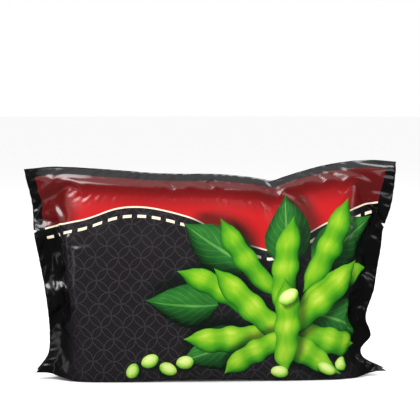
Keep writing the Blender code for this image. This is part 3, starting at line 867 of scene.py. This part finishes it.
def above_line(tree, across, up, points):
    """How far each point is above a smooth line over the flat web. The line's points are in millimetres."""
    shares = [(x / 1000 / FLAT_WIDTH + 0.5, z / 1000 / FLAT_HEIGHT) for x, z in points]
    share = add_node(tree, MATH, [across, 1 / FLAT_WIDTH, 0.5], operation="MULTIPLY_ADD")
    line = run_through(add_node(tree, "ShaderNodeFloatCurve", {"Value": share}), shares)
    return add_node(tree, MATH, [line, -FLAT_HEIGHT, up], operation="MULTIPLY_ADD")


print("rings are", 2000 * RING_RADIUS, "mm across")

# %% Inks
BLACK_INK = colour_of("#1b191c")
DEEP_BLACK = colour_of("#080708")
RING_INK = colour_of("#2c282c")
RED_INK = colour_of("#b60d13")
# painted shade: the red field darkens to this colour towards the top and the sides
SHADED_RED = colour_of("#580507")
CREAM_INK = colour_of("#e9dcc2")
EDGE = 0.0001  # how soft a printed edge is, each way
LINE_HALF = 0.0006
DASH_ROW = -0.0070  # above the wave
DASH_HALF = 0.0011
DASH_PERIOD = 0.0110


def inked_ground(tree, across, up, wave):
    """Charcoal with tone-on-tone rings below the wave, painted shade that darkens it to black by the sides,
    red above it with painted shade that deepens it towards the top and the sides, and the cream line and
    dashes."""
    from_side = add_node(tree, MATH, [across], operation="ABSOLUTE")
    above = above_line(tree, across, up, wave)
    # painted shade: the red deepens towards the top and towards both sides
    near_top = add_node(tree, RANGE, [up, 0.126, 0.151], **SOFT)
    near_side = add_node(tree, RANGE, [from_side, 0.094, 0.114], **SOFT)
    red_shade = add_node(tree, MATH, [near_top, near_side], operation="MAXIMUM")
    red = add_node(tree, MIX, {0: red_shade, 6: RED_INK, 7: SHADED_RED}, **COLOURS)
    in_row = band(tree, above, DASH_ROW, DASH_HALF, EDGE)
    in_beat = beats(tree, across, DASH_PERIOD, -0.40, -0.25)
    dash = add_node(tree, MATH, [in_row, in_beat], operation="MULTIPLY")
    on_line = band(tree, above, 0.0, LINE_HALF, EDGE)
    layers = (
        (ring_pattern(tree, across, up), RING_INK),
        # painted shade: the ground darkens to deep black towards both sides, over the walls of the body
        (add_node(tree, RANGE, [from_side, 0.098, 0.126], **SOFT), DEEP_BLACK),
        (add_node(tree, RANGE, [above, -EDGE, EDGE], **SOFT), red),
        (add_node(tree, MATH, [on_line, dash], operation="MAXIMUM"), CREAM_INK),
    )
    ground = BLACK_INK
    for cover, ink in layers:
        ground = add_node(tree, MIX, {0: cover, 6: ground, 7: ink}, **COLOURS)
    return ground


def black_borders(tree, under, across, up):
    """The same colours with both side seals and the top seal in black."""
    from_side = add_node(tree, MATH, [across], operation="ABSOLUTE")
    beside = add_node(tree, RANGE, [from_side, 0.1312, 0.1315], **SOFT)
    on_top = add_node(tree, RANGE, [up, 0.1545, 0.1548], **SOFT)
    border = add_node(tree, MATH, [beside, on_top], operation="MAXIMUM")
    return add_node(tree, MIX, {0: border, 6: under, 7: DEEP_BLACK}, **COLOURS)


print("dashes of", 1000 * DASH_PERIOD, "mm from one to the next")

# %% [markdown]
# ## Front and back
# Both webs are printed in the same inks on the same press, so one function prints them, each with its own
# wave and pictures. The red field runs on from the front to the back across both side seals. The back also
# has a plain ruled panel, where a pouch carries its table.

# %% Print both webs
FRONT_WAVE = [
    (-140, 112), (-100, 120), (-60, 132), (-20, 126), (20, 108), (50, 104), (90, 116), (120, 128), (140, 132)]
BACK_WAVE = [(-140, 132), (-90, 136), (-30, 130), (30, 120), (90, 112), (140, 112)]
PANEL_MIDDLE, PANEL_HALF = (0.026, 0.062), (0.044, 0.034)  # across and up
RULE_SPACING = 0.0068
RULE_INK = colour_of("#6b6258")


def ruled_panel(tree, under, across, up):
    """A cream panel with thin rules over the colours it is given."""
    sides = [band(tree, place, middle, half, 2 * EDGE)
             for place, middle, half in zip((across, up), PANEL_MIDDLE, PANEL_HALF)]
    on_panel = add_node(tree, MATH, sides, operation="MULTIPLY")
    on_rule = beats(tree, up, RULE_SPACING, 0.975, 0.985)
    ruled = add_node(tree, MIX, {0: on_rule, 6: CREAM_INK, 7: RULE_INK}, **COLOURS)
    return add_node(tree, MIX, {0: on_panel, 6: under, 7: ruled}, **COLOURS)


def printed_laminate(name, wave, spray, panel=None):
    """The laminate of one web, printed with its ground, its panel if it has one, its pictures and borders."""
    made, tree, shader, flat = laminate(name)
    across, up = add_node(tree, SPLIT, [flat]).node.outputs[:2]
    ground = inked_ground(tree, across, up, wave)
    if panel:
        ground = panel(tree, ground, across, up)
    pictured = paint_pictures(tree, flat, ground, spray)
    tree.links.new(black_borders(tree, pictured, across, up), shader.inputs["Base Color"])
    print(name, "has", len(tree.nodes), "nodes")
    return made


front_laminate = printed_laminate("printed_laminate_front", FRONT_WAVE, FRONT_SPRAY)
back_laminate = printed_laminate("printed_laminate_back", BACK_WAVE, BACK_SPRIG, ruled_panel)

# %% [markdown]
# ## Plain black film
# The gusset is the same laminate in plain black. A flood of ink is never quite even, so it is two blacks,
# clouded in patches of about 11 mm, rather than one flat colour.

# %% Black laminate
CLOUDS = 90.0  # per metre

black_laminate, tree, shader, flat = laminate("black_laminate")
density = add_node(tree, NOISE, {"Vector": flat, "Scale": CLOUDS, "Detail": 3.0})
uneven = add_node(tree, RANGE, [density, 0.35, 0.70], **SOFT)
clouded = add_node(tree, MIX, {0: uneven, 6: DEEP_BLACK, 7: colour_of("#131114")}, **COLOURS)
tree.links.new(clouded, shader.inputs["Base Color"])
print(black_laminate.name, "is clouded", CLOUDS, "times per metre")

# %% [markdown]
# ## Blanched pod shell
# A blanched soybean pod is a moist green shell. It is matt with a soft sheen, mottled over each bean, and
# lets a little light in, which the subsurface setting gives. It is covered in fine short hairs. Real hair
# would cost millions of faces, so it is drawn as a bump of 0.3 mm grain, about twice as coarse as the hairs
# are.

# %% Pod shell
SHELL = {"Roughness": 0.46, "IOR": 1.40, "Subsurface Weight": 0.12, "Subsurface Scale": 0.002}
BLOTCHES = 110.0  # per metre, which is one for each bean
HAIRS = 3300.0  # per metre

pod_shell, tree, shader = new_material("blanched_pod_shell", SHELL)
place = add_node(tree, "ShaderNodeTexCoord", out="Object")
blotch = add_node(tree, NOISE, {"Vector": place, "Scale": BLOTCHES, "Detail": 4.0})
greens = set_stops(add_node(tree, "ShaderNodeValToRGB", [blotch]), [(0.30, "#4f8a24"), (0.75, "#93bf45")])
hairs = add_node(tree, NOISE, {"Vector": place, "Scale": HAIRS, "Detail": 2.0})
fuzz = add_node(tree, "ShaderNodeBump", {"Height": hairs, "Strength": 0.35, "Distance": 0.0002})
tree.links.new(greens, shader.inputs["Base Color"])
tree.links.new(fuzz, shader.inputs["Normal"])
print(pod_shell.name, "is ready, with", len(tree.nodes), "nodes")

# %% [markdown]
# ## From points to film
# A web is a closed thin sheet: the outer skin, the same skin moved in by the film's thickness, and a rim
# that joins them. A Solidify modifier would do that too. Building it by hand keeps the rows and columns, so
# the flat coordinates go straight into a texture map, and a second map can be laid out for baking.

# %% Faces and maps of a closed sheet
FILM = 0.0003
MAP_LOW, MAP_HIGH = 0.002, 0.998
OUTER_AND_INNER = ((MAP_LOW, 0.950), (0.955, 0.975))  # heights in the map for baking
RIM_LOW, RIM_HIGH = 0.980, MAP_HIGH


def sheet_faces(rows, columns):
    """Faces of a grid's outer side, its inner side and the rim between, and how many the rim has."""
    count = rows * columns
    index = np.arange(count).reshape(rows, columns)
    corners = np.stack([index[:-1, :-1], index[:-1, 1:], index[1:, 1:], index[1:, :-1]], axis=-1)
    corners = corners.reshape(-1, 4)
    rim = np.concatenate([index[0], index[1:, -1], index[-1, -2::-1], index[-2:0:-1, 0]])
    after = np.roll(rim, -1)
    sides = np.stack([rim, rim + count, after + count, after], axis=-1)
    return np.concatenate([corners, corners[:, ::-1] + count, sides]), len(rim)


def bake_places(rows, columns, loops, rim_faces):
    """Places in the unit square: most of it for the outer side, and strips for the inner side and the rim."""
    u, v = np.meshgrid(np.linspace(MAP_LOW, MAP_HIGH, columns), np.linspace(0, 1, rows))
    squares = [np.stack([u.ravel(), low + (high - low) * v.ravel()], axis=-1)
               for low, high in OUTER_AND_INNER]
    places = np.concatenate(squares)[loops]
    steps = np.linspace(MAP_LOW, MAP_HIGH, rim_faces + 1)
    from_here, to_next = steps[:-1], steps[1:]
    ends = ((from_here, RIM_LOW), (from_here, RIM_HIGH), (to_next, RIM_HIGH), (to_next, RIM_LOW))
    cells = [np.stack([across, np.full(rim_faces, up)], axis=-1) for across, up in ends]
    places[-4 * rim_faces:] = np.stack(cells, axis=1).reshape(-1, 2)
    return places


def film_piece(name, outer, inwards, flat, skin):
    """A closed thin sheet whose outer side is a grid of points. One of its maps has the flat web's
    coordinates in metres, and the other is for baking."""
    rows, columns = outer.shape[:2]
    inner = outer + inwards * FILM
    faces, rim_faces = sheet_faces(rows, columns)
    mesh = bpy.data.meshes.new(name)
    points = np.concatenate([outer.reshape(-1, 3), inner.reshape(-1, 3)])
    mesh.from_pydata(points.tolist(), [], faces.tolist())
    loops = np.empty(len(mesh.loops), np.int32)
    mesh.loops.foreach_get("vertex_index", loops)
    maps = {
        "flat_web": np.tile(flat.reshape(-1, 2), (2, 1))[loops],
        "OFBake": bake_places(rows, columns, loops, rim_faces),
    }
    for title, places in maps.items():
        mesh.uv_layers.new(name=title).data.foreach_set("uv", places.astype(np.float32).ravel())
    mesh.shade_smooth()
    mesh.materials.append(skin)
    piece = bpy.data.objects.new(name, mesh)
    bpy.context.scene.collection.objects.link(piece)
    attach(piece, "root")
    print(name, "has", len(mesh.polygons), "faces")
    return piece


print("film is", 1000 * FILM, "mm thick here, a little thicker than real")

# %% [markdown]
# ## Front and back webs
# On the real pouch the two sealing layers melt into one. As meshes they need a hair's breadth between them,
# or their coinciding faces would flicker. So each web's inner side keeps 0.05 mm from the surface that the
# settled points give, and its outer side is a film's thickness further out.

# %% Front and back webs
WELD_GAP = 0.00005

normals = outward(webs)
outer = webs + normals * (WELD_GAP + FILM)
front_web = film_piece("front_web", outer[0], -normals[0], flat_front, front_laminate)
back_web = film_piece("back_web", outer[1][:, ::-1], -normals[1][:, ::-1], flat_back, back_laminate)
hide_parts("front_panel")
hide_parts("back_panel")

# %% [markdown]
# ## The bottom gusset
# The third web is folded in half and sealed in between the other two. At the sides its fold still stands 33
# mm up inside the seals. Under the body the contents have pressed it open, down to the floor. It could be
# settled like the others, but it is hardly seen. So each of its columns is one curve from the front web's
# foot over the fold to the back web's foot, which follows the settled webs from the inside and never passes
# through them.

# %% Gusset web
BASE_DROP = 0.040  # how far inside the seal the fold has come down to the floor
GUSSET_ROWS = 19  # of each half
WEB_ROOM = 0.0011  # from the middle of a web to the middle of the gusset beside it
FOOT_LIFT = 0.0004  # of the gusset's own foot over the webs' feet
BASE_ARCH = 0.0007  # how high it stands under the middle of the body, and how much that ripples
BASE_RIPPLE = 0.0006
LEAST_HALF = 0.0002  # half of the least way from its front half to its back half


def along_web(web, column, z):
    """x and y of a settled web's column at given heights."""
    line = web[:rise_rows, column]
    heights = np.maximum.accumulate(line[:, 2])
    return np.interp(z, heights, line[:, 0]), np.interp(z, heights, line[:, 1])


rise_rows = round(2 * GUSSET_RISE / FLAT_HEIGHT * (webs.shape[1] - 1))
shares = np.linspace(1, 0, GUSSET_ROWS)  # 1 at a web's foot and 0 at the fold
gusset = np.empty((2 * GUSSET_ROWS - 1, webs.shape[2], 3))
for column in range(webs.shape[2]):
    foot_x, _, foot_z = (webs[0, 0, column] + webs[1, 0, column]) / 2
    inside = min(foot_x - LEFT_SEAL_LINE(GUSSET_RISE), RIGHT_SEAL_LINE(GUSSET_RISE) - foot_x)
    fold = soft_step(inside, BASE_DROP, 0)
    arch = BASE_ARCH + BASE_RIPPLE * math.sin(foot_x / 0.0031) * math.sin(foot_x / 0.011) * (1 - fold)
    leg_z = foot_z * shares**3 + GUSSET_RISE * (1 - shares)
    base_z = foot_z * np.maximum(0, 2 * shares - 1) ** 2 + arch * np.sin(math.pi * shares)
    z = FOOT_LIFT + base_z * (1 - fold) + leg_z * fold
    front_x, front_y = along_web(webs[0], column, z)
    back_x, back_y = along_web(webs[1], column, z)
    middle = (front_y + back_y) / 2
    foot_half = (webs[1, 0, column, 1] - webs[0, 0, column, 1]) / 2 - WEB_ROOM
    reach = np.minimum(shares * foot_half, (back_y - front_y) / 2 - WEB_ROOM)
    reach = np.maximum(reach, LEAST_HALF)
    reach[-1] = 0
    gusset[:GUSSET_ROWS, column] = np.stack([front_x, middle - reach, z], axis=-1)
    gusset[:GUSSET_ROWS - 1:-1, column] = np.stack([back_x, middle + reach, z], axis=-1)[:-1]
inwards = np.cross(np.gradient(gusset, axis=1), np.gradient(gusset, axis=0))
inwards /= np.linalg.norm(inwards, axis=-1, keepdims=True) + 1e-12
flat_gusset = np.stack(flat_places(gusset[None]), axis=-1)
gusset_web = film_piece("gusset_web", gusset[::-1], inwards[::-1], flat_gusset, black_laminate)
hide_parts("bottom_gusset")

# %% [markdown]
# ## Pods inside
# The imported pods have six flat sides, enough for a filling that nobody sees through black film. They are
# still rounded here, because the meshes are kept. Each one is copied, its triangles are joined into
# four-sided faces, and a Subdivision Surface modifier makes it smooth. A soybean pod has a seam along both
# edges, where its two shells meet, so the points near the edges are drawn out into a fine ridge. The edges
# are where a pod is widest, and its principal axes tell where that is, however it lies.

# %% Round pods
SEAM_HEIGHT = 0.0003
SEAM_FROM = 0.93  # how squarely a point must face the wide way to be on the seam, with 1 for exactly
ANY_ANGLE = 3.2  # more than half a turn, so that all triangles may be joined


def smooth_copy(name, source):
    """A new object with the subdivided shape of a faceted one, and the corners of that one."""
    rough = bmesh.new()
    rough.from_mesh(source.data)
    bmesh.ops.remove_doubles(rough, verts=rough.verts[:], dist=1e-6)
    bmesh.ops.join_triangles(
        rough, faces=rough.faces[:], angle_face_threshold=ANY_ANGLE, angle_shape_threshold=ANY_ANGLE)
    cage = bpy.data.meshes.new(name)
    rough.to_mesh(cage)
    rough.free()
    corners = np.array([v.co for v in cage.vertices])
    made = bpy.data.objects.new(name, cage)
    bpy.context.scene.collection.objects.link(made)
    made.modifiers.new("round", "SUBSURF").levels = 2
    smooth = bpy.data.meshes.new_from_object(made.evaluated_get(bpy.context.evaluated_depsgraph_get()))
    made.modifiers.clear()
    made.data = smooth
    bpy.data.meshes.remove(cage)
    return made, corners


def draw_out_seams(mesh, corners):
    """Raise a fine ridge along the two edges of a pod."""
    wide_way = np.linalg.svd(corners - corners.mean(axis=0), full_matrices=False)[2][1]
    points = np.array([v.co for v in mesh.vertices])
    normals = np.array([v.normal for v in mesh.vertices])
    ridge = np.clip((np.abs(normals @ wide_way) - SEAM_FROM) / (1 - SEAM_FROM), 0, 1) ** 2
    moved = points + SEAM_HEIGHT * ridge[:, None] * normals
    mesh.vertices.foreach_set("co", moved.astype(np.float32).ravel())


def round_pod(node):
    """A smooth pod with seams in place of a packed one. Gives its number of faces."""
    pod, corners = smooth_copy(node + "_shell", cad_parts[node])
    draw_out_seams(pod.data, corners)
    pod.data.materials.clear()
    pod.data.materials.append(pod_shell)
    pod.data.shade_smooth()
    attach(pod, "root")
    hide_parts(node)
    return len(pod.data.polygons)


pod_faces = [round_pod(node) for node in sorted(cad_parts) if node.startswith("pod_")]
print(len(pod_faces), "pods with", sum(pod_faces), "faces")

# %% [markdown]
# ## Floor
# The pouch stands on a wide disc of matt white paper, wide enough that its edge is never seen. Pale paper
# under glossy black film would be mirrored in it and grey it. Studios lay a black card just outside
# the picture for that, and here the floor is simply left out of reflections. It has no gloss of its own
# either, because paper seen at a low angle would otherwise darken towards the back.

# %% Floor
FLOOR_RADIUS, FLOOR_SIDES = 4.0, 64
FLOOR_DROP = 0.0002  # keeps it clear of the film's underside

turns = [2 * math.pi * i / FLOOR_SIDES for i in range(FLOOR_SIDES)]
corners = [(FLOOR_RADIUS * math.cos(turn), FLOOR_RADIUS * math.sin(turn), -FLOOR_DROP) for turn in turns]
paper = {"Base Color": colour_of("#f9f9f9"), "Roughness": 0.9, "Specular IOR Level": 0}
floor_mesh = bpy.data.meshes.new("floor")
floor_mesh.from_pydata(corners, [], [tuple(range(FLOOR_SIDES))])
floor_mesh.materials.append(new_material("floor_paper", paper)[0])
floor = bpy.data.objects.new("floor", floor_mesh)
bpy.context.scene.collection.objects.link(floor)
floor.visible_glossy = False
print("floor is", 2 * FLOOR_RADIUS, "m across")

# %% [markdown]
# ## Surroundings
# A white studio gives even light from all sides. In the gloss of the film it would show as a grey veil, so
# the World is bright for every ray but the ones of a reflection, which a Light Path node tells apart. The
# softboxes alone then draw the highlights. The Standard view keeps white paper white and the inks as
# saturated as they are.

# %% World
REFLECTED_STRENGTH = 0.04

world = bpy.data.worlds.new("studio")
world.use_nodes = True
tree = world.node_tree
glossy = add_node(tree, "ShaderNodeLightPath", out="Is Glossy Ray")
strength = add_node(tree, RANGE, {0: glossy, 3: 1.0, 4: REFLECTED_STRENGTH})
tree.links.new(strength, tree.nodes["Background"].inputs["Strength"])
tree.nodes["Background"].inputs["Color"].default_value = (1, 1, 1, 1)
bpy.context.scene.world = world
bpy.context.scene.view_settings.view_transform = "Standard"
print("surroundings at", REFLECTED_STRENGTH, "of their strength in reflections")

# %% [markdown]
# ## Lights
# Gloss shows the shape of what lights it, so the lights are large softboxes, whose reflections have soft
# edges. The key stands to the upper left in front, a weaker fill to the right, and one more lights the
# back. Two small cards to the left draw the bright lines in the creases of that side. Each beam is
# narrowed, as by a honeycomb grid, so that the lights don't wash over the floor.

# %% Softboxes
MIDDLE = (0, 0, 0.08)  # of the pouch
LIGHTS = (  # name, place, aim, size, power in watts, spread in degrees
    ("overhead", (0, 0.2, 1.2), (0, 0.2, 0), (1.6, 1.4), 1.5, 100),
    ("key", (-0.52, -0.64, 1.36), MIDDLE, (0.8, 0.7), 2.8, 80),
    ("fill", (0.75, -0.85, 1.05), MIDDLE, (0.7, 0.6), 0.5, 80),
    ("back_key", (0.5, 0.9, 1.3), MIDDLE, (0.8, 0.7), 1.6, 80),
    ("side_card", (-1.15, -0.75, 0.8), MIDDLE, (0.7, 0.9), 0.45, 120),
    ("low_card", (-0.95, -0.9, 0.3), MIDDLE, (0.4, 0.5), 0.14, 120),
)
for name, place, aim, size, power, spread in LIGHTS:
    softbox = bpy.data.lights.new(name, "AREA")
    softbox.shape = "RECTANGLE"
    softbox.size, softbox.size_y = size
    softbox.energy = power
    softbox.spread = math.radians(spread)
    light = bpy.data.objects.new(name, softbox)
    light.location = place
    light.rotation_euler = (Vector(place) - Vector(aim)).to_track_quat("Z", "Y").to_euler()
    bpy.context.scene.collection.objects.link(light)
print(len(LIGHTS), "softboxes, together", round(sum(light[4] for light in LIGHTS), 2), "watts")
